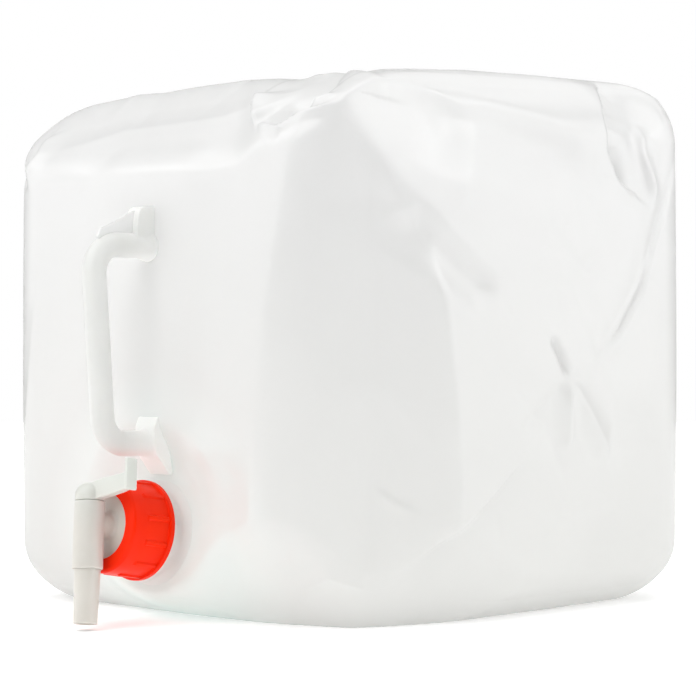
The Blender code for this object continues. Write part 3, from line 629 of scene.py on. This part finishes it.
def build_film(material):
    bm = bmesh.new()
    bmesh.ops.create_cube(bm, size=2)
    bmesh.ops.subdivide_edges(bm, edges=bm.edges, cuts=FILM_CELLS - 1, use_grid_fill=True)
    mesh = bpy.data.meshes.new("film_bag")
    bm.to_mesh(mesh)
    bm.free()
    mesh.vertices.foreach_set("co", film_points(coordinates(mesh)).ravel())
    bm = bmesh.new()
    bm.from_mesh(mesh)
    open_neck_hole(bm)
    bm.to_mesh(mesh)
    bm.free()
    bag = link("film_bag", mesh)
    wall = bag.modifiers.new("film", "SOLIDIFY")
    wall.thickness = FILM_WALL
    wall.offset = -1
    bag.data = evaluated(bag)
    bag.modifiers.clear()
    bag.data.shade_smooth()
    return finish_piece(bag, material, "bag_skin", "root")


def arc(centre, radius, start, end, steps):
    """Points on an arc in a profile's plane, angles in degrees."""
    angles = [math.radians(start + (end - start) * i / steps) for i in range(steps + 1)]
    return [(centre[0] + radius * math.cos(a), centre[1] + radius * math.sin(a)) for a in angles]


def split_profile(profile, step):
    """Adds points to a closed profile's straight runs, so that a thread or ribs can rise from them."""
    points = []
    for (ax, ay), (bx, by) in zip(profile, profile[1:] + profile[:1]):
        count = max(1, round(math.hypot(bx - ax, by - ay) / step))
        points += [(ax + (bx - ax) * i / count, ay + (by - ay) * i / count) for i in range(count)]
    return points


def turned(name, profile, place, segments=TURNED_SEGMENTS, closed=True, relief=None):
    """A piece turned about its Z. The relief gives how far a place on it rises from the profile."""
    profile = np.array(profile)
    angles = np.arange(segments) * math.tau / segments
    angle = np.repeat(angles, len(profile))
    radius = np.tile(profile[:, 0], segments)
    height = np.tile(profile[:, 1], segments)
    if relief:
        radius = radius + relief(angle, radius, height)
    points = np.stack([radius * np.cos(angle), radius * np.sin(angle), height], axis=1)
    rows = len(profile)
    last = rows if closed else rows - 1
    faces = []
    for i in range(segments):
        a, b = i * rows, (i + 1) % segments * rows
        faces += [(a + j, a + (j + 1) % rows, b + (j + 1) % rows, b + j) for j in range(last)]
    bm = bmesh.new()
    verts = [bm.verts.new(p) for p in points]
    for face in faces:
        bm.faces.new([verts[i] for i in face])
    bmesh.ops.remove_doubles(bm, verts=bm.verts, dist=1e-7)
    bmesh.ops.recalc_face_normals(bm, faces=bm.faces)
    mesh = bpy.data.meshes.new(name)
    bm.to_mesh(mesh)
    bm.free()
    mesh.transform(place)
    return link(name, mesh)


def thread_relief(wall, start, turns, outwards):
    """A round thread ridge on a wall of the given radius, climbing outwards as it turns left."""
    def relief(angle, radius, height):
        rise = np.zeros(len(angle))
        for turn in range(math.ceil(turns) + 1):
            along = angle / math.tau + turn
            off = height - start - THREAD_PITCH * along
            taper = ease(np.minimum(along, turns - along) / THREAD_RUN_OUT)
            ridge = THREAD_RIDGE * np.sqrt(np.clip(1 - (off / THREAD_RIDGE) ** 2, 0, 1)) * taper
            rise = np.maximum(rise, ridge * (along <= turns))
        return rise * outwards * (np.abs(radius - wall) < 1e-6)
    return relief


def build_neck(material):
    lip = NECK_LIP_ROUND
    profile = [(NECK_BORE, NECK_LENGTH)]
    profile += arc((NECK_WALL - lip, NECK_LENGTH - lip), lip, 90, 0, 4)
    profile += arc((NECK_WALL + NECK_FILLET, PAD_THICKNESS + NECK_FILLET), NECK_FILLET, 180, 270, 10)
    profile += [(PAD_RADIUS, PAD_EDGE), (PAD_RADIUS, -GAP), (NECK_BORE, -GAP)]
    profile = split_profile(profile, NECK_STEP)
    thread = thread_relief(NECK_WALL, THREAD_START, NECK_TURNS, 1)
    neck = turned("neck", profile, neck_frame(), NECK_SEGMENTS, relief=thread)
    return finish_piece(keep_shape(neck), material, "threaded_neck", "root")


def cap_relief(angle, radius, height):
    """The thread inside the cap ring, and the grip ribs on its skirt."""
    thread = thread_relief(CAP_BORE, THREAD_START + THREAD_PITCH / 2, CAP_TURNS, -1)(angle, radius, height)
    skirt = (radius > CAP_FRONT - 1e-6) & (radius < CAP_FRONT + CAP_TAPER + 1e-6)
    pitch = math.tau / RIB_COUNT
    across = np.abs((angle % pitch) - pitch / 2) * CAP_FRONT
    sides = fade(across - RIB_WIDTH / 2 + RIB_SIDE_SET_IN, RIB_SIDE)
    front = ease((CAP_FACE - RIB_FROM_FRONT - height) / RIB_END)
    return thread + RIB_HEIGHT * sides * front * skirt


def build_cap(material):
    rim_top = CAP_REAR + CAP_RIM_LENGTH
    under = CAP_FACE - CAP_FACE_WALL
    skirt_end = CAP_FRONT + CAP_TAPER
    hole, fillet = CAP_HOLE_ROUND, CAP_RIM_FILLET
    profile = arc((CAP_HOLE + hole, CAP_FACE - hole), hole, 180, 90, 3)
    profile += arc((CAP_FRONT - CAP_ROUND, CAP_FACE - CAP_ROUND), CAP_ROUND, 90, 0, 8)
    profile += arc((skirt_end + fillet, rim_top + fillet), fillet, 180, 270, 3)
    profile += arc((CAP_RIM - CAP_EDGE, rim_top - CAP_EDGE), CAP_EDGE, 90, 0, 3)
    profile += arc((CAP_RIM - CAP_EDGE, CAP_REAR + CAP_EDGE), CAP_EDGE, 0, -90, 3)
    profile += [(CAP_BORE + CAP_EDGE, CAP_REAR), (CAP_BORE, CAP_REAR + CAP_EDGE), (CAP_BORE, under),
                (CAP_HOLE, under)]
    profile = split_profile(profile, CAP_STEP)
    cap = turned("cap", profile, neck_frame(), CAP_SEGMENTS, relief=cap_relief)
    return finish_piece(keep_shape(cap), material, "cap_ring", "cap")


def build_washer(material):
    edge = SEAL_EDGE
    inner, outer = FLANGE_RADIUS - SEAL_WIDTH, FLANGE_RADIUS
    low, high = SEAL_BACK, SEAL_BACK + SEAL_THICKNESS
    profile = arc((outer - edge, high - edge), edge, 90, 0, 3)
    profile += arc((outer - edge, low + edge), edge, 0, -90, 3)
    profile += arc((inner + edge, low + edge), edge, 270, 180, 3)
    profile += arc((inner + edge, high - edge), edge, 180, 90, 3)
    washer = turned("washer", profile, neck_frame())
    return finish_piece(keep_shape(washer), material, "seal_washer", "seal")


def combine(obj, other, operation):
    """Joins the other piece to the object, or cuts it out, and removes it."""
    modifier = obj.modifiers.new(other.name, "BOOLEAN")
    modifier.operation = operation
    modifier.solver = "EXACT"
    modifier.object = other
    mesh = evaluated(obj)
    obj.modifiers.clear()
    obj.data = mesh
    bpy.data.objects.remove(other, do_unlink=True)


def moulded(obj, voxel=MOULDED_VOXEL):
    """Makes one skin of what overlaps, and rounds every edge a little, as on a moulding."""
    remesh = obj.modifiers.new("moulded", "REMESH")
    remesh.mode = "VOXEL"
    remesh.voxel_size = voxel
    smooth = obj.modifiers.new("rounded edges", "SMOOTH")
    smooth.factor = MOULDED_SMOOTHING
    smooth.iterations = MOULDED_ROUNDS
    return keep_shape(obj, math.pi)


def rod(name, radius, low, high, place):
    profile = [(0, high), (radius, high), (radius, low), (0, low)]
    return turned(name, profile, place, closed=False)


def build_tap_body(material):
    face = FLANGE_BACK + FLANGE_THICKNESS
    profile = [(0, BARREL_AXIS), (TUBE_RADIUS, BARREL_AXIS)]
    profile += arc((TUBE_RADIUS + TUBE_FILLET, face + TUBE_FILLET), TUBE_FILLET, 180, 270, 8)
    profile += [(FLANGE_RADIUS, face), (FLANGE_RADIUS, FLANGE_BACK), (0, FLANGE_BACK)]
    body = turned("tap_housing", profile, tap_frame(), closed=False)
    profile = [(0, BARREL_ABOVE)]
    profile += arc((BARREL_RADIUS - BARREL_EDGE, BARREL_ABOVE - BARREL_EDGE), BARREL_EDGE, 90, 0, 3)
    profile += arc((BARREL_RADIUS - BARREL_EDGE, BARREL_EDGE - BARREL_BELOW), BARREL_EDGE, 0, -90, 3)
    profile += [(0, -BARREL_BELOW)]
    combine(body, turned("barrel", profile, plug_frame(), closed=False), "UNION")
    bore = rod("tube_bore", TUBE_BORE, FLANGE_BACK - CUT_PAST, BARREL_AXIS, tap_frame())
    combine(body, bore, "DIFFERENCE")
    low, high = -BARREL_BELOW - CUT_PAST, BARREL_ABOVE + CUT_PAST
    combine(body, rod("barrel_bore", BARREL_BORE, low, high, plug_frame()), "DIFFERENCE")
    return finish_piece(moulded(body), material, "tap_body", "tap")


def outline_plate(name, outline, thickness, place):
    """An upright plate of an outline in local XZ, centred on Y = 0."""
    bm = bmesh.new()
    face = bm.faces.new([bm.verts.new((x, -thickness / 2, z)) for x, z in outline])
    grown = bmesh.ops.extrude_face_region(bm, geom=[face])
    verts = [v for v in grown["geom"] if isinstance(v, bmesh.types.BMVert)]
    bmesh.ops.translate(bm, vec=(0, thickness, 0), verts=verts)
    bmesh.ops.recalc_face_normals(bm, faces=bm.faces)
    mesh = bpy.data.meshes.new(name)
    bm.to_mesh(mesh)
    bm.free()
    mesh.transform(place)
    return link(name, mesh)


def lever_outline(low, head_top):
    """The lever's web from the side: it rises outwards, below and above, with a hollow back."""
    end = LEVER_LENGTH - THUMB_THICKNESS / 2
    under = [(end * t, low + LEVER_RISE * t ** 2) for t in LEVER_UNDER_SHARES]
    over = [(end, low + LEVER_RISE + LEVER_TIP_HEIGHT - LEVER_TIP_SLOPE)]
    crest = low + LEVER_HEIGHT + LEVER_CREST
    over += [(end * t, crest + (LEVER_TIP_HEIGHT - LEVER_HEIGHT) * t ** LEVER_CREST_POWER)
             for t in LEVER_OVER_SHARES]
    return [(0, low)] + under + over + [(LEVER_CREST_START, head_top - GAP), (0, head_top - GAP)]


def build_plug(material):
    head_top = BARREL_ABOVE + HEAD_HEIGHT
    tip = -BARREL_BELOW - SPOUT_LENGTH
    profile = [(0, head_top)]
    profile += arc((HEAD_RADIUS - HEAD_ROUND, head_top - HEAD_ROUND), HEAD_ROUND, 90, 0, 8)
    profile += [(HEAD_RADIUS, BARREL_ABOVE + GAP), (PLUG_RADIUS, BARREL_ABOVE + GAP),
                (PLUG_RADIUS, -BARREL_BELOW - GAP), (SPOUT_TIP, tip), (SPOUT_TIP_BORE, tip),
                (PLUG_BORE, PORT_CROWN - PLUG_BORE / 2), (PLUG_BORE / 2, PORT_CROWN), (0, PORT_CROWN)]
    plug = turned("plug_and_spout", profile, plug_frame(), closed=False)
    low = BARREL_ABOVE + 2 * GAP
    web = outline_plate("lever_web", lever_outline(low, head_top), LEVER_WIDTH, plug_frame())
    combine(plug, web, "UNION")
    foot = low + LEVER_RISE - LEVER_TIP_DROP
    back = LEVER_LENGTH - THUMB_THICKNESS
    outline = [(back, foot), (LEVER_LENGTH, foot), (LEVER_LENGTH, foot + THUMB_HEIGHT),
               (back, foot + THUMB_HEIGHT)]
    combine(plug, outline_plate("thumb_plate", outline, THUMB_WIDTH, plug_frame()), "UNION")
    port = rod("side_port", PORT_RADIUS, 0, BARREL_RADIUS,
               plug_frame() @ Matrix.Rotation(-math.pi / 2, 4, "Y"))
    combine(plug, port, "DIFFERENCE")
    return finish_piece(moulded(plug), material, "tap_plug", "plug")


def bend(before, corner, after, radius, steps):
    """Points that round a corner of a path with an arc."""
    into = (corner - before).normalized()
    away = (after - corner).normalized()
    turn = into.angle(away)
    start = corner - into * radius * math.tan(turn / 2)
    side = (away - into * into.dot(away)).normalized()
    centre = start + side * radius
    return [centre - side * radius * math.cos(turn * i / steps) + into * radius * math.sin(turn * i / steps)
            for i in range(steps + 1)]


def handle_path():
    """Points along the middle of the bar, from its upper root to its lower one."""
    wall = FRONT_Y - LAND_STAND + HANDLE_TO_LAND
    low_wall = FRONT_Y - LAND_STAND + ROOT_SINK
    top = Vector((0, FRONT_Y - HANDLE_REACH_TOP, HANDLE_TOP + HANDLE_DROOP))
    bottom = Vector((0, FRONT_Y - HANDLE_REACH_BOTTOM, HANDLE_BOTTOM))
    head = Vector((0, wall, HANDLE_TOP))
    foot = Vector((0, low_wall, HANDLE_BOTTOM))
    rough = [head] + bend(head, top, bottom, HANDLE_BEND, BEND_STEPS)
    rough += bend(top, bottom, foot, HANDLE_BEND, BEND_STEPS) + [foot]
    path = []
    for a, b in zip(rough, rough[1:]):
        count = max(1, round((b - a).length / PATH_STEP))
        path += [a.lerp(b, i / count) for i in range(count)]
    return path + [rough[-1]]


def handle_section(turns, to_film):
    """Radii of the bar's section at angles about its middle, with the mould's parting line."""
    flare = HANDLE_FLARE * fade(to_film, HANDLE_FLARE_LENGTH)
    parting = PARTING_HEIGHT * np.exp(-(np.sin(turns) / PARTING_WIDTH) ** 2)
    return HANDLE_RADIUS + flare + parting + HANDLE_OVAL * np.cos(2 * turns)


def handle_plate(name, outline, thickness, height):
    """An upright plate in the handle's plane. Its outline runs out from the land and up from the height."""
    place = Matrix.Translation((0, FRONT_Y - LAND_STAND, height)) @ Matrix.Rotation(-math.pi / 2, 4, "Z")
    return outline_plate(name, outline, thickness, place)


def join(obj, other):
    """Adds the other's mesh to the object's."""
    bm = bmesh.new()
    bm.from_mesh(obj.data)
    bm.from_mesh(other.data)
    bm.to_mesh(obj.data)
    bm.free()
    bpy.data.objects.remove(other, do_unlink=True)


def handle_bar():
    """The bar, as rings of points along its path."""
    path = handle_path()
    turns = np.arange(SECTION_POINTS) * math.tau / SECTION_POINTS
    across = np.array([1.0, 0, 0])
    rings = []
    for i, point in enumerate(path):
        along = (path[min(i + 1, len(path) - 1)] - path[max(i - 1, 0)]).normalized()
        outward = np.cross(across, np.array(along))
        radius = handle_section(turns, max(path[0].y - point.y, 0))
        ring = np.outer(radius * np.cos(turns), outward) + np.outer(radius * np.sin(turns), across)
        rings.append(np.array(point) + ring)
    bm = bmesh.new()
    loops = [[bm.verts.new(p) for p in ring] for ring in rings]
    for a, b in zip(loops, loops[1:]):
        for i in range(len(turns)):
            j = (i + 1) % len(turns)
            bm.faces.new((a[i], a[j], b[j], b[i]))
    bm.faces.new(loops[0][::-1])
    bm.faces.new(loops[-1])
    bmesh.ops.recalc_face_normals(bm, faces=bm.faces)
    mesh = bpy.data.meshes.new("handle")
    bm.to_mesh(mesh)
    bm.free()
    return link("handle", mesh)


def build_handle(material, web_material):
    handle = handle_bar()
    join(handle, handle_plate("gusset", GUSSET_EDGE, GUSSET_THICKNESS, HANDLE_TOP))
    join(handle, handle_plate("strip", STRIP_EDGE, STRIP_WIDTH, HANDLE_BOTTOM))
    finish_piece(moulded(handle, HANDLE_VOXEL), material, "carry_handle", "root")
    web = keep_shape(handle_plate("handle_web", WEB_EDGE, WEB_THICKNESS, HANDLE_TOP))
    finish_piece(web, web_material, "carry_handle", "root")


def new_material(name):
    material = bpy.data.materials.new(name)
    material.use_nodes = True
    return material, material.node_tree, material.node_tree.nodes["Principled BSDF"]


def feed(tree, socket, value):
    """Links a value to a socket, or sets the socket to a plain number or colour."""
    if isinstance(value, bpy.types.NodeSocket):
        tree.links.new(value, socket)
    else:
        socket.default_value = value


def own_space(tree):
    """A place in the piece's own space."""
    return tree.nodes.new("ShaderNodeTexCoord").outputs["Object"]


def coordinate(tree, way):
    """A place's X, Y or Z in the piece's own space."""
    split = tree.nodes.new("ShaderNodeSeparateXYZ")
    tree.links.new(own_space(tree), split.inputs["Vector"])
    return split.outputs[way]


def noise(tree, scale, detail, stretch=(1, 1, 1)):
    """A noise value in the piece's own space."""
    mapping = tree.nodes.new("ShaderNodeMapping")
    mapping.inputs["Scale"].default_value = stretch
    texture = tree.nodes.new("ShaderNodeTexNoise")
    texture.inputs["Scale"].default_value = scale
    texture.inputs["Detail"].default_value = detail
    tree.links.new(own_space(tree), mapping.inputs["Vector"])
    tree.links.new(mapping.outputs["Vector"], texture.inputs["Vector"])
    return texture.outputs["Fac"]


def ramp(tree, value, shades, span=NOISE_MIDDLE):
    """A colour that runs from one shade to the other as the value runs over the span."""
    node = tree.nodes.new("ShaderNodeValToRGB")
    for element, shade, position in zip(node.color_ramp.elements, shades, span):
        element.position = position
        element.color = (*shade, 1)
    tree.links.new(value, node.inputs["Fac"])
    return node.outputs["Color"]


def mapped(tree, value, span, low, high):
    """A number that runs from low to high as the value runs over the span."""
    node = tree.nodes.new("ShaderNodeMapRange")
    for name, number in zip(("From Min", "From Max", "To Min", "To Max"), (*span, low, high)):
        node.inputs[name].default_value = number
    tree.links.new(value, node.inputs["Value"])
    return node.outputs["Result"]


def measured(tree, operation, place, other):
    """A number from a place and a fixed vector: their distance apart, or their dot product."""
    node = tree.nodes.new("ShaderNodeVectorMath")
    node.operation = operation
    node.inputs[1].default_value = other
    tree.links.new(place, node.inputs[0])
    return node.outputs["Value"]


def mixed_colour(tree, way, share, first, second):
    node = tree.nodes.new("ShaderNodeMix")
    node.data_type = "RGBA"
    node.blend_type = way
    for name, value in (("Factor", share), ("A", first), ("B", second)):
        feed(tree, node.inputs[name], value)
    return node.outputs["Result"]


def mixed_shader(tree, share, first, second):
    node = tree.nodes.new("ShaderNodeMixShader")
    feed(tree, node.inputs["Fac"], share)
    tree.links.new(first, node.inputs[1])
    tree.links.new(second, node.inputs[2])
    return node.outputs["Shader"]


def add_bump(tree, shader, value, depth):
    bump = tree.nodes.new("ShaderNodeBump")
    bump.inputs["Distance"].default_value = depth
    tree.links.new(value, bump.inputs["Height"])
    tree.links.new(bump.outputs["Normal"], shader.inputs["Normal"])
    return bump.outputs["Normal"]


def add_glow(tree, shader, colour, strength):
    shader.inputs["Emission Color"].default_value = (*colour, 1)
    feed(tree, shader.inputs["Emission Strength"], strength)


def translucent(tree, colour):
    node = tree.nodes.new("ShaderNodeBsdfTranslucent")
    tree.links.new(colour, node.inputs["Color"])
    return node


def show(tree, shader):
    tree.links.new(shader, tree.nodes["Material Output"].inputs["Surface"])


def film_material():
    """Thin blown film: glossy, milky and lit through, with painted light round the neck.

    Darker and a little less blue low down, partly the thicker film's own tint and partly painted shade.
    """
    material, tree, shader = new_material("blown film")
    # Darker and less blue low down: the film's own tint together with painted shade
    up = mapped(tree, coordinate(tree, "Z"), (0, FILM_TINT_AND_SHADE_HEIGHT), 0, 1)
    tint_and_shade = ramp(tree, up, FILM_SHADES, (0, 1))
    cloud = ramp(tree, noise(tree, *FILM_CLOUD_NOISE), FILM_CLOUD_SHADES, FILM_CLOUD_SPAN)
    colour = mixed_colour(tree, "MULTIPLY", 1.0, tint_and_shade, cloud)
    tree.links.new(colour, shader.inputs["Base Color"])
    shader.inputs["Specular IOR Level"].default_value = FILM_GLOSS
    rough = mapped(tree, noise(tree, *FILM_ROUGHNESS_NOISE), NOISE_MOST, *FILM_ROUGHNESS)
    tree.links.new(rough, shader.inputs["Roughness"])
    normal = add_bump(tree, shader, noise(tree, *FILM_GRAIN_NOISE), FILM_GRAIN)
    through = translucent(tree, colour)
    tree.links.new(normal, through.inputs["Normal"])
    from_neck = measured(tree, "DISTANCE", own_space(tree), (0, FRONT_Y, NECK_HEIGHT))
    # Painted light round the neck, lifting the shade beside the cap
    add_glow(tree, shader, NECK_GLOW_COLOUR, mapped(tree, from_neck, NECK_GLOW_REACH, *NECK_GLOW))
    milky = mixed_shader(tree, FILM_MILKY, shader.outputs["BSDF"], through.outputs["BSDF"])
    clear = tree.nodes.new("ShaderNodeBsdfTransparent")
    thin = mapped(tree, from_neck, FILM_CLEAR_REACH, *FILM_CLEAR)
    show(tree, mixed_shader(tree, thin, milky, clear.outputs["BSDF"]))
    return material


def moulding_material(name, shades, roughness, soft, through=0.0, gloss=0.5, glow=0.0, root_glow=None,
                      upper=None):
    """Moulded plastic: two near shades, a fine grain, and some light scattered within or let through.

    The glow is painted light that lifts the piece's shaded sides; the root glow is more of it close
    to the film. Upper gives a lighter shade for the piece's upper end, painted light where it is lit
    more, and the heights between which it sets in.
    """
    material, tree, shader = new_material(name)
    shade = ramp(tree, noise(tree, *MOULDED_SHADE_NOISE), shades)
    # Painted light: a lighter shade towards the piece's upper end
    if upper:
        upper_shade, heights = upper
        share = mapped(tree, coordinate(tree, "Z"), heights, 0, 1)
        shade = mixed_colour(tree, "MIX", share, shade, (*upper_shade, 1))
    tree.links.new(shade, shader.inputs["Base Color"])
    rough = mapped(tree, noise(tree, *MOULDED_ROUGHNESS_NOISE), NOISE_MOST, *roughness)
    tree.links.new(rough, shader.inputs["Roughness"])
    add_bump(tree, shader, noise(tree, *MOULDED_GRAIN_NOISE), MOULDED_GRAIN)
    shader.inputs["Specular IOR Level"].default_value = gloss
    shader.inputs["Subsurface Weight"].default_value = soft
    shader.inputs["Subsurface Radius"].default_value = SCATTER_COLOUR
    shader.inputs["Subsurface Scale"].default_value = SCATTER_DEPTH
    # Painted light, more of it near the film
    if root_glow:
        glow = mapped(tree, coordinate(tree, "Y"), ROOT_GLOW_REACH, glow, root_glow)
    add_glow(tree, shader, shades[1], glow)
    if through:
        milky = translucent(tree, shade)
        show(tree, mixed_shader(tree, through, shader.outputs["BSDF"], milky.outputs["BSDF"]))
    return material


def add_camera():
    data = bpy.data.cameras.new("camera")
    data.sensor_width = SENSOR
    data.lens = SENSOR * FOCAL_PIXELS / PHOTO_SIDE
    data.clip_start = CAMERA_NEAR
    camera = link("camera", data)
    back = Vector(towards(CAMERA_AZIMUTH))
    right = Vector(towards(CAMERA_AZIMUTH + math.pi / 2))
    camera.location = back * CAMERA_DISTANCE + right * CAMERA_ASIDE + Vector((0, 0, CAMERA_HEIGHT))
    camera.rotation_euler = (math.pi / 2, 0, CAMERA_AZIMUTH)
    bpy.context.scene.camera = camera


def add_floor():
    """A pale floor, which glows more with the distance behind the bag, up to the backdrop's white."""
    bm = bmesh.new()
    bmesh.ops.create_circle(bm, cap_ends=True, radius=FLOOR_RADIUS, segments=FLOOR_SEGMENTS)
    mesh = bpy.data.meshes.new("floor")
    bm.to_mesh(mesh)
    bm.free()
    floor = link("floor", mesh)
    material, tree, shader = new_material("pale floor")
    shader.inputs["Roughness"].default_value = FLOOR_ROUGHNESS
    tree.links.new(ramp(tree, noise(tree, *FLOOR_NOISE), FLOOR_SHADES), shader.inputs["Base Color"])
    behind = measured(tree, "DOT_PRODUCT", own_space(tree), -towards(CAMERA_AZIMUTH))
    add_glow(tree, shader, WHITE, mapped(tree, behind, FLOOR_GLOW_REACH, *FLOOR_GLOW))
    mesh.materials.append(material)


def add_area(name, size, power, azimuth, elevation, distance):
    """A soft light that faces the bag's middle."""
    data = bpy.data.lights.new(name, "AREA")
    data.shape = "RECTANGLE"
    data.size, data.size_y = size
    data.energy = power
    light = link(name, data)
    back = Vector(towards(math.radians(azimuth), math.radians(elevation)))
    light.location = back * distance + Vector((0, 0, CAMERA_HEIGHT))
    light.rotation_euler = back.to_track_quat("Z", "Y").to_euler()


def add_world():
    """A white backdrop that the camera sees, and that gives no light of its own."""
    world = bpy.data.worlds.new("studio")
    bpy.context.scene.world = world
    world.use_nodes = True
    tree = world.node_tree
    backdrop = tree.nodes["Background"]
    backdrop.inputs["Color"].default_value = (*WHITE, 1)
    path = tree.nodes.new("ShaderNodeLightPath")
    tree.links.new(path.outputs["Is Camera Ray"], backdrop.inputs["Strength"])


def main():
    bpy.context.scene.view_settings.view_transform = "Standard"
    add_camera()
    add_floor()
    add_world()
    for name, light in SOFTBOXES.items():
        add_area(name, *light)
    looks = {name: moulding_material(name, **look) for name, look in MOULDINGS.items()}
    film = film_material()
    build_film(film)
    build_neck(looks["neck polyethylene"])
    build_handle(looks["natural polyethylene"], film)
    build_washer(looks["seal rubber"])
    build_cap(looks["cap plastic"])
    build_tap_body(looks["tap plastic"])
    build_plug(looks["tap plastic"])


main()
